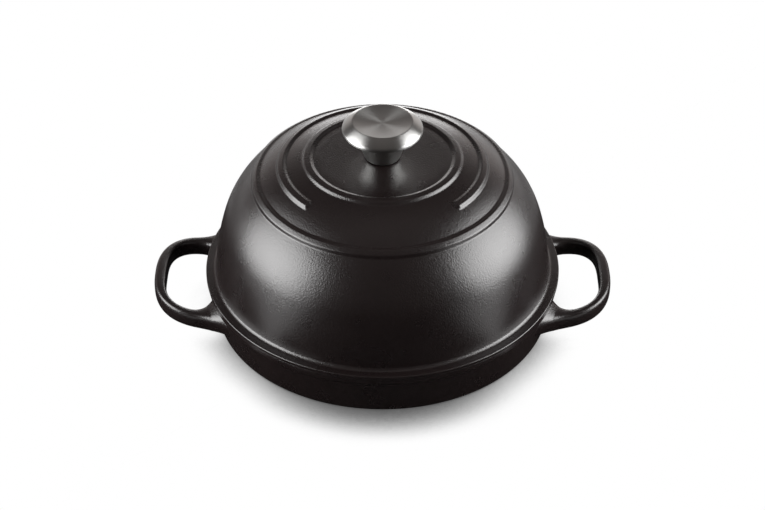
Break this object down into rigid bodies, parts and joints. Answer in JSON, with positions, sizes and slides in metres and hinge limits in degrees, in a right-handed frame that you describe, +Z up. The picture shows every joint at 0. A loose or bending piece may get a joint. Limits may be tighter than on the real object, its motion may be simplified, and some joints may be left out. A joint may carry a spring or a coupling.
{
  "type": "bread pot",
  "caption": "Cast iron bread pot: a shallow enamelled pan with loop handles under a tall domed lid that lifts off by a steel knob.",
  "frame": {"origin": "on the pot's axis, in the plane that the pan stands on", "axes": "+Z up along the pot's axis, +X towards one loop handle, -Y towards the front of the lid"},
  "size_m": [0.3322, 0.256, 0.1597],
  "materials": {
    "black_enamel": "satin black enamel on cast iron",
    "brushed_knob_steel": "stainless steel, brushed round the axis",
    "plated_fixing_steel": "plain plated steel"
  },
  "bodies": {
    "base": {"base_pan": "black_enamel"},
    "lid": {"lid_dome": "black_enamel", "knob_cap": "brushed_knob_steel", "knob_stem": "brushed_knob_steel", "knob_insert": "plated_fixing_steel", "knob_screw": "plated_fixing_steel", "spring_washer": "plated_fixing_steel", "flat_washer": "plated_fixing_steel"}
  },
  "joints": [
    {"name": "lid_lift", "type": "slide", "parent": "base", "child": "lid", "axis": [0, 0, 1], "range_m": [0, 0.16]}
  ]
}
